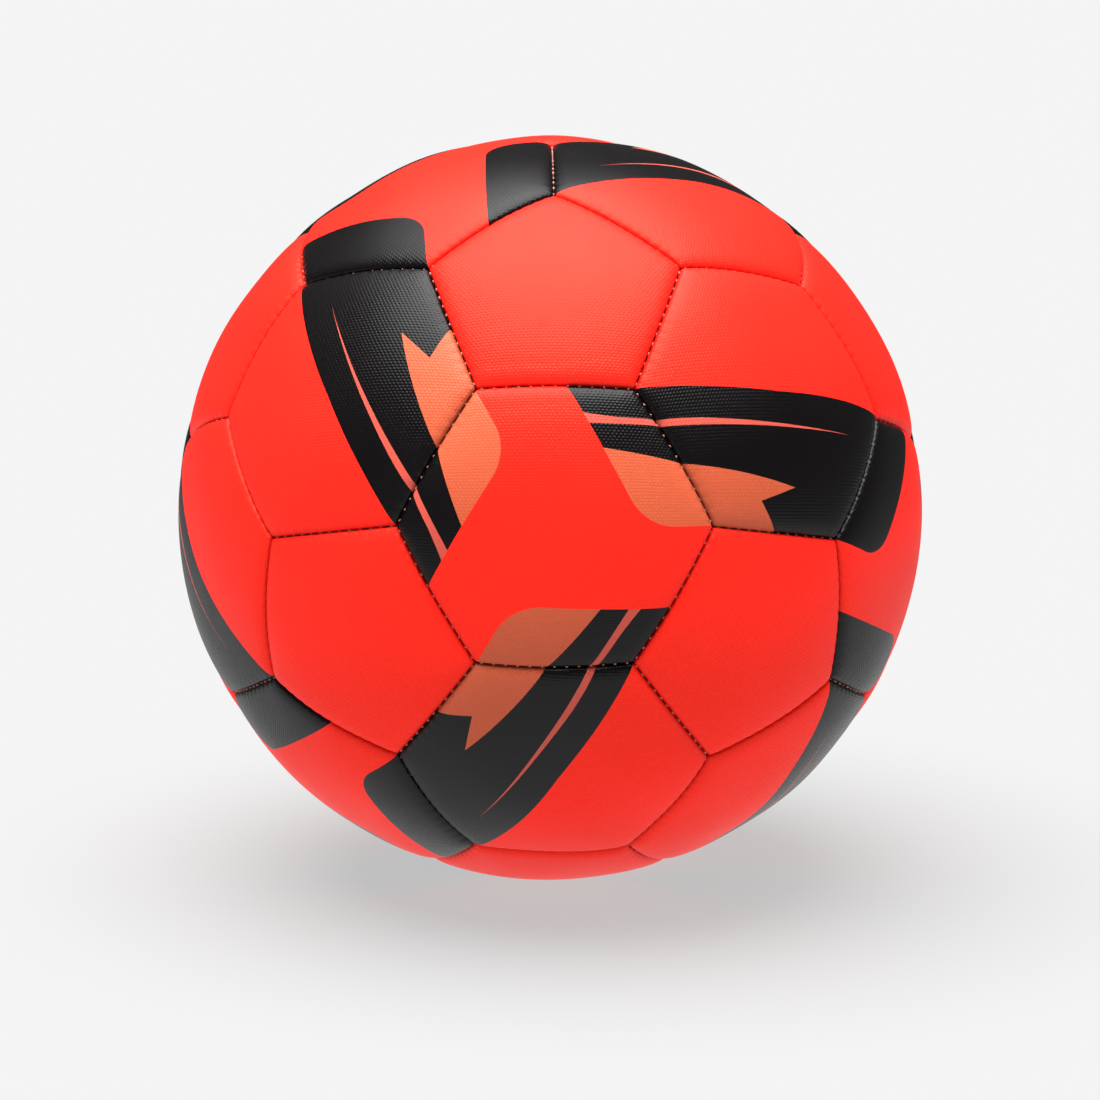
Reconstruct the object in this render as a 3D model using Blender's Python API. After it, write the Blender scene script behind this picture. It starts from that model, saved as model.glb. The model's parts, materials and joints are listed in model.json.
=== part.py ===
"""A stitched 32-panel soccer ball at rest, in metres, +Z up, with its origin at its centre.

Twelve pentagon and twenty hexagon panels are laminated sheets whose edges roll over into
turned-in flanges. The flanges face each other along every seam, a thread lies in the groove
above them, and a rubber bladder with a needle valve fills the inside. The hexagon that faces
the front (-Y) leans back by REST_TILT, and the valve sits in the hexagon opposite it.
"""

import itertools
import math

import bmesh
import bpy
from mathutils import Matrix, Vector

# Driving dimensions
BALL_CIRCUMFERENCE = 0.690
REST_TILT = math.radians(8.6)
PANEL_THICKNESS = 0.0035
SEAM_ROLL = 0.0030  # radius by which a panel's edge rolls over into its flange
FLANGE_DEPTH = 0.0060
FLANGE_THICKNESS = 0.0020
THREAD_DIAMETER = 0.0006
BLADDER_WALL = 0.0010
STEM_DIAMETER = 0.0085
STEM_TAIL = 0.0110  # how far the valve reaches below the bladder's skin
STEM_RECESS = 0.0009  # how far the stem's mouth lies below the ball's surface
BASE_DIAMETER = 0.0280
BASE_THICKNESS = 0.0010
PATCH_DIAMETER = 0.0320
PATCH_THICKNESS = 0.0005
PLUG_HEAD_DIAMETER = 0.0066
PLUG_HEAD_THICKNESS = 0.0016
PLUG_SHANK_DIAMETER = 0.0044
PLUG_END_MARGIN = 0.0010  # the plug ends this far above the end of the valve's tail
NEEDLE_BORE_DIAMETER = 0.0018
NEEDLE_BORE_FLOOR = 0.0030  # rubber left below the blind needle bore

# Clearances
SEAM_GAP = 0.0004  # between two flanges, across the seam
FIT_GAP = 0.0003  # between pieces that touch on the real ball
MOUTH_STEP = 0.0001  # the plug's head lies this far below the stem's rim

# Facets
EDGE_SEGMENTS = 3
THREAD_SIDES = 6
TURNED_SEGMENTS = 24
BLADDER_SEGMENTS = 32
BLADDER_RINGS = 18

# Derived sizes
BALL_RADIUS = BALL_CIRCUMFERENCE / math.tau
PANEL_BACK = BALL_RADIUS - PANEL_THICKNESS
FLANGE_FLOOR = BALL_RADIUS - FLANGE_DEPTH
STEM_RADIUS = STEM_DIAMETER / 2
BASE_RADIUS = BASE_DIAMETER / 2
PATCH_RADIUS = PATCH_DIAMETER / 2
THREAD_RADIUS = THREAD_DIAMETER / 2
SEAM_INSET = SEAM_GAP / 2

GOLDEN_RATIO = (1 + math.sqrt(5)) / 2
SEAM_CHORD = 2 / math.sqrt(9 * GOLDEN_RATIO + 10)  # a seam's straight length at radius 1
SAME_DIRECTION = 1e-3  # two directions closer than this angle are the same corner
FRONT = Vector((0, -1, 0))
UP = Vector((0, 0, 1))


def chord_floor(radius, half_angle):
    """The least distance from the centre of a flat facet whose corners lie at this radius."""
    return radius * math.cos(half_angle)


def span_half_angle(radius, inner, outer):
    """Half the angle at the centre between two circles around the same axis."""
    return (math.asin(outer / radius) - math.asin(inner / radius)) / 2


# The ball's layout: directions from the centre


def icosahedron_directions():
    found = []
    for one, other in itertools.product((1, -1), (GOLDEN_RATIO, -GOLDEN_RATIO)):
        found += [(0, one, other), (one, other, 0), (other, 0, one)]
    return [Vector(point).normalized() for point in found]


def neighbours(directions, index):
    """The five directions nearest to one icosahedron direction."""
    others = [other for other in range(len(directions)) if other != index]
    others.sort(key=lambda other: -directions[index].dot(directions[other]))
    return others[:5]


def in_order(centre, directions):
    """The directions sorted anticlockwise about a centre, as seen from outside."""
    start = (directions[0] - centre * centre.dot(directions[0])).normalized()
    side = centre.cross(start)
    return sorted(directions, key=lambda d: math.atan2(d.dot(side), d.dot(start)) % math.tau)


def third_way(near, far):
    """The seam corner a third of the way along the edge between two pentagon centres."""
    return (near * 2 + far).normalized()


def facing_front(pentagons):
    """The rotation that turns one hexagon to the front, with a pentagon right above it."""
    first = 0
    second = neighbours(pentagons, first)[0]
    shared = set(neighbours(pentagons, first)) & set(neighbours(pentagons, second))
    hexagon = pentagons[first] + pentagons[second] + pentagons[min(shared)]
    back = -hexagon.normalized()
    up = (pentagons[first] - back * back.dot(pentagons[first])).normalized()
    return Matrix((back.cross(up).normalized(), back, up))


def from_front(panel):
    """Sorts panels from the front to the back, then anticlockwise from the top."""
    centre = panel[0]
    height = centre.dot(UP)
    side = centre.dot(FRONT.cross(UP))
    return (round(-centre.dot(FRONT), 4), round(math.atan2(side, height) % math.tau, 4))


def ball_layout():
    """(centre, corners) of each pentagon, and the same of each hexagon."""
    raw = icosahedron_directions()
    turn = facing_front(raw)
    centres = [(turn @ direction).normalized() for direction in raw]
    pentagons = []
    triples = set()
    for index, centre in enumerate(centres):
        near = neighbours(centres, index)
        corners = [third_way(centre, centres[other]) for other in near]
        pentagons.append((centre, in_order(centre, corners)))
        for one, other in itertools.combinations(near, 2):
            if one in neighbours(centres, other):
                triples.add(tuple(sorted((index, one, other))))
    hexagons = []
    for triple in sorted(triples):
        around = [centres[index] for index in triple]
        corners = [third_way(a, b) for a, b in itertools.permutations(around, 2)]
        centre = sum(around, Vector()).normalized()
        hexagons.append((centre, in_order(centre, corners)))
    pentagons.sort(key=from_front)
    hexagons.sort(key=from_front)
    return pentagons, hexagons


# Panels


def inset_corner(centre, corner, next_corner, inset, radius):
    """The point at a radius that keeps the same inset from both seams at a corner."""
    inward = (centre - corner * corner.dot(centre)).normalized()
    seam = corner.cross(next_corner).normalized()
    across = inset / inward.dot(seam)
    return corner * math.sqrt(radius**2 - across**2) + inward * across


def panel_ring(centre, corners, inset, radius):
    """A closed ring of points at an inset from the seams, at a distance from the centre."""
    count = len(corners)
    turned = [
        inset_corner(centre, corners[i], corners[(i + 1) % count], inset, radius)
        for i in range(count)
    ]
    ring = []
    for i in range(count):
        seam = corners[i].cross(corners[(i + 1) % count]).normalized()
        lift = seam * inset
        start, end = turned[i] - lift, turned[(i + 1) % count] - lift
        for step in range(EDGE_SEGMENTS):
            along = start.normalized().slerp(end.normalized(), step / EDGE_SEGMENTS)
            ring.append(along * start.length + lift)
    return ring


def halfway_ring(centre, ring, radius):
    return [centre.slerp(point.normalized(), 0.5) * radius for point in ring]


def hole_ring(centre, ring, hole_radius, radius):
    """Points evenly round a hole at the panel's centre, starting towards the first corner."""
    start = (ring[0] - centre * centre.dot(ring[0])).normalized()
    side = centre.cross(start)
    height = math.sqrt(radius**2 - hole_radius**2)
    points = []
    for step in range(len(ring)):
        angle = math.tau * step / len(ring)
        across = start * math.cos(angle) + side * math.sin(angle)
        points.append(centre * height + across * hole_radius)
    return points


def panel_rings(centre, corners, hole_radius):
    """The rings of points of one panel, from the middle of its face round to its back."""
    mid_roll = SEAM_ROLL * (1 - math.sqrt(0.5))
    profile = [(SEAM_ROLL, 0.0), (mid_roll, mid_roll), (0.0, SEAM_ROLL), (0.0, FLANGE_DEPTH)]
    profile += [(FLANGE_THICKNESS, FLANGE_DEPTH), (FLANGE_THICKNESS, PANEL_THICKNESS)]
    rings = [
        panel_ring(centre, corners, SEAM_INSET + inset, BALL_RADIUS - depth)
        for inset, depth in profile
    ]
    rings.insert(0, halfway_ring(centre, rings[0], BALL_RADIUS))
    rings.append(halfway_ring(centre, rings[-1], PANEL_BACK))
    if hole_radius:
        rings.insert(0, hole_ring(centre, rings[0], hole_radius, BALL_RADIUS))
        rings.append(hole_ring(centre, rings[-1], hole_radius, PANEL_BACK))
    return rings


def add_bands(mesh, rings, closed):
    """Quads between each ring and the next, and from the last to the first if closed."""
    pairs = list(zip(rings, rings[1:]))
    if closed:
        pairs.append((rings[-1], rings[0]))
    for near, far in pairs:
        for i in range(len(near)):
            after = (i + 1) % len(near)
            mesh.faces.new((near[i], near[after], far[after], far[i]))


def add_fan(mesh, ring, tip):
    for i in range(len(ring)):
        mesh.faces.new((ring[i], ring[(i + 1) % len(ring)], tip))


def panel_mesh(centre, corners, hole_radius=0.0):
    mesh = bmesh.new()
    points = panel_rings(centre, corners, hole_radius)
    rings = [[mesh.verts.new(point) for point in ring] for ring in points]
    add_bands(mesh, rings, closed=bool(hole_radius))
    if not hole_radius:
        add_fan(mesh, rings[0], mesh.verts.new(centre * BALL_RADIUS))
        add_fan(mesh, rings[-1], mesh.verts.new(centre * PANEL_BACK))
    return mesh


# Seam threads


def thread_depth():
    """How deep the thread's middle lies for it to clear the rolled edges on both sides."""
    reach = SEAM_ROLL + THREAD_RADIUS + FIT_GAP
    return SEAM_ROLL - math.sqrt(reach**2 - (SEAM_ROLL + SEAM_INSET) ** 2)


def section_point(middle, up, side, number):
    angle = math.tau * number / THREAD_SIDES
    return middle + (up * math.cos(angle) + side * math.sin(angle)) * THREAD_RADIUS


def hub_ring(corner, radius, towards, others):
    """The thread's section where runs meet at a corner, for the run that goes towards a point.

    The top and bottom points are shared by all runs, and each side takes the mitre that lies
    between this run and its neighbour on that side.
    """
    tangents = [(o - corner * corner.dot(o)).normalized() for o in [towards] + others]
    own = tangents[0]
    left = corner.cross(own)
    ordered = sorted(
        tangents[1:], key=lambda t: math.atan2(t.dot(left), t.dot(own)) % math.tau
    )
    ring = []
    for number in range(THREAD_SIDES):
        angle = math.tau * number / THREAD_SIDES
        width = math.sin(angle) * THREAD_RADIUS
        neighbour = ordered[0] if width > 0 else ordered[-1]
        half_turn = math.atan2(neighbour.dot(left), neighbour.dot(own)) % math.tau / 2
        mitre = left + own / math.tan(half_turn)
        height = radius + math.cos(angle) * THREAD_RADIUS
        ring.append(corner * height + mitre * width)
    return ring


def run_rings(start, end, first_ring, last_ring, radius):
    """The sections of one run of thread along the seam between two corner directions."""
    side = start.cross(end).normalized()
    rings = [first_ring]
    for step in range(1, EDGE_SEGMENTS):
        up = start.slerp(end, step / EDGE_SEGMENTS)
        rings.append([section_point(up * radius, up, side, n) for n in range(THREAD_SIDES)])
    rings.append(last_ring)
    return rings


def mirrored_section(ring):
    """The same section as the run on its other side counts it, from the top round."""
    return [ring[-number % THREAD_SIDES] for number in range(THREAD_SIDES)]


def tail_end_ring(start, end, radius):
    """The cut end of a tail, short of the thread that runs past the seam's far corner."""
    side = start.cross(end).normalized()
    pentagon_half_angle = math.radians(54)
    short = (THREAD_RADIUS / math.sin(pentagon_half_angle) + FIT_GAP) / radius
    up = start.slerp(end, 1 - short / start.angle(end))
    return [section_point(up * radius, up, side, n) for n in range(THREAD_SIDES)]


def share_tails(pentagons):
    """For each pentagon, the outer corners of the hexagon seams that its thread also sews."""
    tails = [[] for _ in pentagons]
    centres = [centre for centre, _ in pentagons]
    for one, other in itertools.combinations(range(len(centres)), 2):
        if other not in neighbours(centres, one):
            continue
        fewer = one if len(tails[one]) <= len(tails[other]) else other
        more = other if fewer == one else one
        near = third_way(centres[fewer], centres[more])
        far = third_way(centres[more], centres[fewer])
        tails[fewer].append((near, far))
    return tails


def thread_mesh(corners, tails):
    """A ring of thread round one pentagon, with tails along some seams between hexagons."""
    mesh = bmesh.new()
    radius = BALL_RADIUS - thread_depth()
    count = len(corners)
    for i, corner in enumerate(corners):
        after, before = corners[(i + 1) % count], corners[i - 1]
        beyond = corners[(i + 2) % count]
        here = [far for near, far in tails if near.angle(corner) < SAME_DIRECTION]
        there = [far for near, far in tails if near.angle(after) < SAME_DIRECTION]
        first = hub_ring(corner, radius, after, [before] + here)
        last = mirrored_section(hub_ring(after, radius, corner, [beyond] + there))
        add_run(mesh, run_rings(corner, after, first, last, radius))
        for far in here:
            first = hub_ring(corner, radius, far, [before, after])
            last = tail_end_ring(corner, far, radius)
            rings = add_run(mesh, run_rings(corner, far, first, last, radius))
            mesh.faces.new(rings[-1])
    bmesh.ops.remove_doubles(mesh, verts=mesh.verts, dist=THREAD_RADIUS * 0.01)
    return mesh


def add_run(mesh, points):
    rings = [[mesh.verts.new(point) for point in ring] for ring in points]
    add_bands(mesh, rings, closed=False)
    return rings


# Turned pieces: profiles of (distance from the axis, height along it)


def on_sphere(radius, across):
    return (across, math.sqrt(radius**2 - across**2))


def turned_mesh(profile, segments, closed):
    """A profile spun about Z. Its ends lie on the axis unless it is closed on itself."""
    mesh = bmesh.new()
    rim = profile if closed else profile[1:-1]
    rings = []
    for across, height in rim:
        turns = [math.tau * step / segments for step in range(segments)]
        points = [(across * math.cos(t), across * math.sin(t), height) for t in turns]
        rings.append([mesh.verts.new(point) for point in points])
    add_bands(mesh, rings, closed)
    if not closed:
        add_fan(mesh, rings[0], mesh.verts.new((0, 0, profile[0][1])))
        add_fan(mesh, rings[-1], mesh.verts.new((0, 0, profile[-1][1])))
    return mesh


def patch_outer():
    """The valve patch lies against the panel's back, whose facets dip between their rings."""
    halfway = math.asin(SEAM_CHORD) / 2
    hole = math.asin(STEM_RADIUS / PANEL_BACK)
    return chord_floor(PANEL_BACK, (halfway - hole) / 2) - FIT_GAP


def patch_inner():
    return patch_outer() - PATCH_THICKNESS


def base_outer():
    bow = span_half_angle(BALL_RADIUS, STEM_RADIUS, PATCH_RADIUS)
    return chord_floor(patch_inner(), bow) - FIT_GAP


def base_inner():
    return base_outer() - BASE_THICKNESS


def bladder_outer():
    """The bladder rests on the flanges' floors, and stays below the valve's base."""
    seam_angle = 2 * math.asin(SEAM_CHORD / 2)
    on_flanges = chord_floor(FLANGE_FLOOR, seam_angle / EDGE_SEGMENTS / 2)
    bow = span_half_angle(BALL_RADIUS, STEM_RADIUS, BASE_RADIUS)
    return min(on_flanges, chord_floor(base_inner(), bow)) - FIT_GAP


def stem_hole_radius(segments):
    """A faceted hole whose flats clear the stem."""
    return (STEM_RADIUS + FIT_GAP) / math.cos(math.pi / segments)


def mouth_height():
    return BALL_RADIUS - STEM_RECESS


def tail_height():
    return bladder_outer() - STEM_TAIL


def bladder_mesh():
    outer, inner = bladder_outer(), bladder_outer() - BLADDER_WALL
    hole = stem_hole_radius(BLADDER_SEGMENTS)
    profile = []
    for radius, way in ((outer, 1), (inner, -1)):
        mouth = math.asin(hole / radius)
        steps = range(BLADDER_RINGS + 1)[::way]
        for step in steps:
            angle = math.pi + (mouth - math.pi) * step / BLADDER_RINGS
            profile.append((radius * math.sin(angle), radius * math.cos(angle)))
    return turned_mesh(profile, BLADDER_SEGMENTS, closed=False)


def valve_body_mesh():
    head_bore = PLUG_HEAD_DIAMETER / 2 + FIT_GAP
    shank_bore = PLUG_SHANK_DIAMETER / 2 + FIT_GAP
    ledge = mouth_height() - MOUTH_STEP - PLUG_HEAD_THICKNESS - FIT_GAP
    profile = [
        (shank_bore, tail_height()),
        (STEM_RADIUS, tail_height()),
        on_sphere(base_inner(), STEM_RADIUS),
        on_sphere(base_inner(), BASE_RADIUS),
        on_sphere(base_outer(), BASE_RADIUS),
        on_sphere(base_outer(), STEM_RADIUS),
        (STEM_RADIUS, mouth_height()),
        (head_bore, mouth_height()),
        (head_bore, ledge),
        (shank_bore, ledge),
    ]
    return turned_mesh(profile, TURNED_SEGMENTS, closed=True)


def valve_plug_mesh():
    top = mouth_height() - MOUTH_STEP
    shoulder = top - PLUG_HEAD_THICKNESS
    end = tail_height() + PLUG_END_MARGIN
    head, shank = PLUG_HEAD_DIAMETER / 2, PLUG_SHANK_DIAMETER / 2
    bore, floor = NEEDLE_BORE_DIAMETER / 2, end + NEEDLE_BORE_FLOOR
    profile = [(0, end), (shank, end), (shank, shoulder), (head, shoulder)]
    profile += [(head, top), (bore, top), (bore, floor), (0, floor)]
    return turned_mesh(profile, TURNED_SEGMENTS, closed=False)


def valve_patch_mesh():
    hole = STEM_RADIUS + FIT_GAP
    profile = [
        on_sphere(patch_inner(), hole),
        on_sphere(patch_inner(), PATCH_RADIUS),
        on_sphere(patch_outer(), PATCH_RADIUS),
        on_sphere(patch_outer(), hole),
    ]
    return turned_mesh(profile, TURNED_SEGMENTS, closed=True)


# Materials and objects


def material(name, colour, roughness):
    made = bpy.data.materials.new(name)
    made.use_nodes = True
    shader = made.node_tree.nodes["Principled BSDF"]
    shader.inputs["Base Color"].default_value = (*colour, 1)
    shader.inputs["Roughness"].default_value = roughness
    shader.inputs["Metallic"].default_value = 0
    made.diffuse_color = (*colour, 1)
    return made


def add_object(name, mesh, finish, parent):
    """Makes an object of a mesh, with its faces turned outwards and its round parts smooth."""
    bmesh.ops.recalc_face_normals(mesh, faces=mesh.faces)
    data = bpy.data.meshes.new(name)
    mesh.to_mesh(data)
    mesh.free()
    data.shade_smooth()
    data.set_sharp_from_angle(angle=math.radians(40))
    data.materials.append(finish)
    made = bpy.data.objects.new(name, data)
    made.parent = parent
    bpy.context.scene.collection.objects.link(made)
    return made


def clear_scene():
    for old in list(bpy.data.objects):
        bpy.data.objects.remove(old, do_unlink=True)


def ball_centre():
    """The empty that every piece hangs on, which leans the ball back to its resting pose."""
    centre = bpy.data.objects.new("ball_centre", None)
    centre.rotation_euler = (-REST_TILT, 0, 0)
    bpy.context.scene.collection.objects.link(centre)
    return centre


def add_panels(pentagons, hexagons, parent):
    red = material("pentagon_cover", (0.86, 0.045, 0.022), 0.42)
    printed = material("hexagon_cover", (0.80, 0.045, 0.025), 0.42)
    for number, (centre, corners) in enumerate(pentagons, 1):
        add_object(f"pentagon_panel_{number:02d}", panel_mesh(centre, corners), red, parent)
    for number, (centre, corners) in enumerate(hexagons, 1):
        if number < len(hexagons):
            mesh = panel_mesh(centre, corners)
            add_object(f"hexagon_panel_{number:02d}", mesh, printed, parent)
            continue
        hole = stem_hole_radius(len(corners) * EDGE_SEGMENTS)
        mesh = panel_mesh(centre, corners, hole)
        add_object("valve_hexagon_panel", mesh, printed, parent)


def add_threads(pentagons, parent):
    finish = material("seam_thread", (0.72, 0.35, 0.30), 0.6)
    for number, (tails, panel) in enumerate(zip(share_tails(pentagons), pentagons), 1):
        mesh = thread_mesh(panel[1], tails)
        add_object(f"seam_thread_{number:02d}", mesh, finish, parent)


def add_inside(parent):
    """The bladder and the valve, turned about an axis that points to the back (+Y)."""
    butyl = material("bladder_rubber", (0.03, 0.03, 0.03), 0.55)
    rubber = material("valve_rubber", (0.02, 0.02, 0.022), 0.5)
    textile = material("patch_textile", (0.75, 0.73, 0.68), 0.85)
    pieces = [
        add_object("bladder", bladder_mesh(), butyl, parent),
        add_object("valve_body", valve_body_mesh(), rubber, parent),
        add_object("valve_plug", valve_plug_mesh(), rubber, parent),
        add_object("valve_patch", valve_patch_mesh(), textile, parent),
    ]
    for piece in pieces:
        piece.rotation_euler = (-math.pi / 2, 0, 0)


def main():
    clear_scene()
    pentagons, hexagons = ball_layout()
    centre = ball_centre()
    add_panels(pentagons, hexagons, centre)
    add_threads(pentagons, centre)
    add_inside(centre)


main()
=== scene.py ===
"""Looks of a stitched 32-panel soccer ball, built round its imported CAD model.

Every panel is worked out in its own frame: x and y lie in the plane that touches the ball at the
panel's centre, in millimetres, and the panel's great-circle seams are straight lines there. The
printed shapes are cut into the panel's mesh, so each ink has its own faces. Everything else is in
metres, in the CAD's frame.
"""

import itertools
import json
import math

import bpy
import numpy as np
from mathutils import Matrix, Vector
from mathutils.geometry import delaunay_2d_cdt


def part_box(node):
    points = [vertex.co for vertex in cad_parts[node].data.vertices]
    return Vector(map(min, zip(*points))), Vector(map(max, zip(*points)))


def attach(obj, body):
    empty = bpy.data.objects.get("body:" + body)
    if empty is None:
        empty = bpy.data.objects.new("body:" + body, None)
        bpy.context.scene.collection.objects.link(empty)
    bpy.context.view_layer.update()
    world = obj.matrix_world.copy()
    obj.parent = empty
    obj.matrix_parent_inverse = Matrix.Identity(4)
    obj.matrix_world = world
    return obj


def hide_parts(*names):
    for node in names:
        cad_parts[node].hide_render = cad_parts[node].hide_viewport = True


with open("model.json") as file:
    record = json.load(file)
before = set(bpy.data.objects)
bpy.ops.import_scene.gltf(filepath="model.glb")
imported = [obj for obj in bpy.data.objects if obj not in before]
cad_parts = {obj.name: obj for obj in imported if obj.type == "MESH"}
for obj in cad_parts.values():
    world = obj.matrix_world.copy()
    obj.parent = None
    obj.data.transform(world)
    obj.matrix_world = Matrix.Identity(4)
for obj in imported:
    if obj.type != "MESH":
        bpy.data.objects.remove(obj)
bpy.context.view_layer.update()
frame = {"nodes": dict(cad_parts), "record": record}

MM = 0.001

MOUNTS = {mount["name"]: mount for mount in frame["record"]["mounts"]}
BALL_RADIUS = -MOUNTS["ground_contact"]["pos_m"][2]
VALVE_AXIS = Vector(MOUNTS["valve_mouth"]["axis"])
REST_TILT = math.atan2(-VALVE_AXIS.z, VALVE_AXIS.y)
FLOOR_HEIGHT = -BALL_RADIUS

# Panel sections, in millimetres
RADIUS = BALL_RADIUS / MM
RIM_INSET = 0.05
CREASE = ((0.85, 0.3), (0.45, 1.2), (0.95, 6.0))
SHOULDER_SLOPE = 0.10
SHOULDER_PLACE = 3.0
SHOULDER_WIDTH = 0.5
CORNER_SHARPNESS = 4
STITCHES_PER_SEAM = 13
STITCH_PULL = 0.28
STITCH_PULL_REACH = 1.3
GAP_OPENING = 0.13
GAP_REACH = 0.4
UNEVENNESS = 0.16
UNEVEN_SCALE = 1.7
UNEVEN_WAVES = ((3.1, 7.7, -4.2, 0.4), (-6.3, 2.9, 5.6, 1.9), (8.8, -3.7, 6.1, 4.1))
# Painted shade: the cover's colour darkened along each seam's fold, its reach in millimetres and
# its strength
CREASE_SHADE_REACH = 0.5
CREASE_SHADE = 0.55
WALL = ((0.2, 4.6), (0.2, 6.0), (2.2, 6.0))
LINING_DEPTH = 3.5
LINING_INSET = 2.2
VALVE_HOLE_RADIUS = 4.4
HOLE_STEP = 0.5
HOLE_RINGS = ((0.3, 0.6), (0.8, 0.9))

# Moulded valve parts, in millimetres
BODY_ROUNDING = 0.45
PLUG_ROUNDING = 0.3
NEEDLE_FLARE = (0.4, 0.5)
BORE_END = 0.3
AXIS_RADIUS = 0.02
SAME_SIZE = 0.01
ROUNDING_STEPS = 5
TURNED_SIDES = 96

# Mesh density, in millimetres
POINTS_PER_STITCH = 6
RINGS = ((0.2, 0.6), (0.4, 0.6), (0.7, 0.65), (1.1, 0.7), (1.6, 0.8), (2.2, 0.95), (2.9, 1.1))
RINGS += ((3.6, 1.3), (4.5, 1.6), (5.8, 1.8), (7.4, 2.0))
MIDDLE_INSET = 9.0
MIDDLE_SPACING = 2.0
LINING_SPACING = 9.0
OUTLINE_STEP = 1.0
CLEARANCE = 0.25

# Thread, in millimetres
THREAD_RADIUS = 0.17
BEAD_RADIUS = 0.25
BEAD_DEPTH = 2.3
BEAD_SHARPNESS = 6
THREAD_DEPTH = 4.2
THREAD_END = 0.7
THREAD_SIDES = 8
THREAD_STEPS = 14
THREAD_SEARCH = 8.0

# Camera, found by fitting the seam corners of the front panels
CAMERA_DISTANCE = 12.0 * BALL_RADIUS
CAMERA_ELEVATION = REST_TILT + math.radians(2.87)
CAMERA_AZIMUTH = math.radians(0.75)
CAMERA_AIM_DOWN = math.radians(0.54)
CAMERA_ROLL = math.radians(0.28)
CAMERA_LENS = 145.7
SENSOR_WIDTH = 36.0

# Studio light. Heights on the sky are sines of their elevation.
WALL_TOP = math.sin(math.radians(46))
CEILING_EDGE = math.sin(math.radians(66))
WALL_LIGHT = 0.06
CEILING_LIGHT = 4.6
TABLE_EDGE = -math.sin(math.radians(4))
TABLE_NEAR = -math.sin(math.radians(20))
TABLE_LIGHT = 0.5
FLOOR_COLOUR = 0.085
FLOOR_GLOW = 0.522
FLOOR_SIZE = 14.0
FILL_COUNT = 6
FILL_ELEVATION = math.radians(-28)
FILL_STRENGTH = 0.95
FILL_SPREAD = math.radians(60)
KEY_STRENGTH = 9.4
KEY_SPREAD = math.radians(60)
KEY_LEAN = math.radians(8)

# Cover surface: the pitch of the embossing in millimetres, its height in metres
EMBOSS_PITCH = (1.25, 0.9)
EMBOSS_HEIGHT = 0.000055
# Painted shade: how much the colour is darkened in the emboss's grooves
GROOVE_SHADE = 0.10
GRAIN_HEIGHT = 0.7
GRAIN_SCALE = 2600
MIDDLE_GRAIN = math.radians(60)
WEAVE_PITCH = 0.0006

# Colours: linear red, green, blue
RED_INK = (0.95, 0.016, 0.009)
RED_TINT = (1.0, 0.95, 0.6, 1.0)
BLACK_INK = (0.0032, 0.0026, 0.0029)
CORAL_INK = (0.50, 0.086, 0.036)
STRIPE_INK = (0.52, 0.075, 0.052)
BACKING_COLOUR = (0.10, 0.022, 0.020)
THREAD_COLOUR = (0.60, 0.22, 0.18)
VALVE_COLOUR = (0.02, 0.02, 0.022)
PLUG_COLOUR = (0.035, 0.034, 0.035)
BLADDER_COLOUR = (0.03, 0.03, 0.03)
PATCH_COLOUR = (0.75, 0.73, 0.68)

# Places of the inks in a hexagon's list of materials
BLACK_SLOT, CORAL_SLOT, STRIPE_SLOT = 1, 2, 3

UP = Vector((0, 0, 1))
GOLDEN_RATIO = (1 + math.sqrt(5)) / 2
NEXT_PENTAGON_COSINE = 0.4
SAME_DIRECTION_COSINE = 0.999


# The ball's panels


def neighbours(centre, others, count):
    """The directions nearest to a centre, without the centre itself."""
    ranked = sorted(others, key=lambda other: (-round(other.dot(centre), 4), -other.z))
    return [other for other in ranked if other.dot(centre) < 0.9999][:count]


def tangent_frame(centre, towards, angle):
    """Columns x, y and outward, with a direction seen at an angle from x round the centre."""
    across = (towards - centre * centre.dot(towards)).normalized()
    turn = Matrix.Rotation(-math.radians(angle), 3, centre)
    x = turn @ across
    return Matrix((x, centre.cross(x), centre)).transposed()


def raw_pentagons():
    found = []
    for one, other in itertools.product((1, -1), (GOLDEN_RATIO, -GOLDEN_RATIO)):
        found += [(0, one, other), (one, other, 0), (other, 0, one)]
    return [Vector(point).normalized() for point in found]


def hexagons_between(pentagons):
    """The centres of the hexagons, one for each three pentagons that lie next to each other."""
    found = []
    for three in itertools.combinations(pentagons, 3):
        if min(a.dot(b) for a, b in itertools.combinations(three, 2)) > NEXT_PENTAGON_COSINE:
            found.append(sum(three, Vector()).normalized())
    return found


def laid_out():
    """Pentagon and hexagon centres, with a hexagon in front and a pentagon above it, before the
    tilt.
    """
    pentagons = raw_pentagons()
    front = hexagons_between(pentagons)[0]
    above = neighbours(front, pentagons, 1)[0]
    seen = tangent_frame(front, above, 90)
    facing = Matrix(((1, 0, 0), (0, 0, -1), (0, 1, 0)))
    turned = facing @ seen.transposed()
    pentagons = [turned @ centre for centre in pentagons]
    return pentagons, hexagons_between(pentagons)


def print_kinds(hexagons):
    """Which hexagons start a printed arm and which cap one. The rest carry its middle."""
    front = min(hexagons, key=lambda centre: centre.y)
    starts, caps = [front], [-front]
    for centre in hexagons:
        turn = math.degrees(math.atan2(centre.z, centre.x)) % 120
        if abs(centre.dot(front) - 1 / 3) < 0.01 and turn > 90:
            caps.append(centre)
            starts.append(-centre)
    return starts, caps


def near_any(centre, others):
    return any(centre.dot(other) > SAME_DIRECTION_COSINE for other in others)


def panel_frames():
    """(kind, frame) for each panel, tilted as the ball rests."""
    pentagons, hexagons = laid_out()
    starts, caps = print_kinds(hexagons)
    middles = [c for c in hexagons if not near_any(c, starts + caps)]
    families = (
        ("pentagon", pentagons, pentagons, 90),
        ("start", starts, pentagons, 90),
        ("cap", caps, pentagons, 0),
        ("middle", middles, middles, 90),
    )
    found = []
    for kind, centres, targets, angle in families:
        for c in centres:
            found.append((kind, tangent_frame(c, neighbours(c, targets, 1)[0], angle)))
    tilt = Matrix.Rotation(-REST_TILT, 3, "X")
    return [(kind, tilt @ axes) for kind, axes in found]


# Printed outlines, in millimetres. A third number rounds that corner off to a radius.


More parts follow.
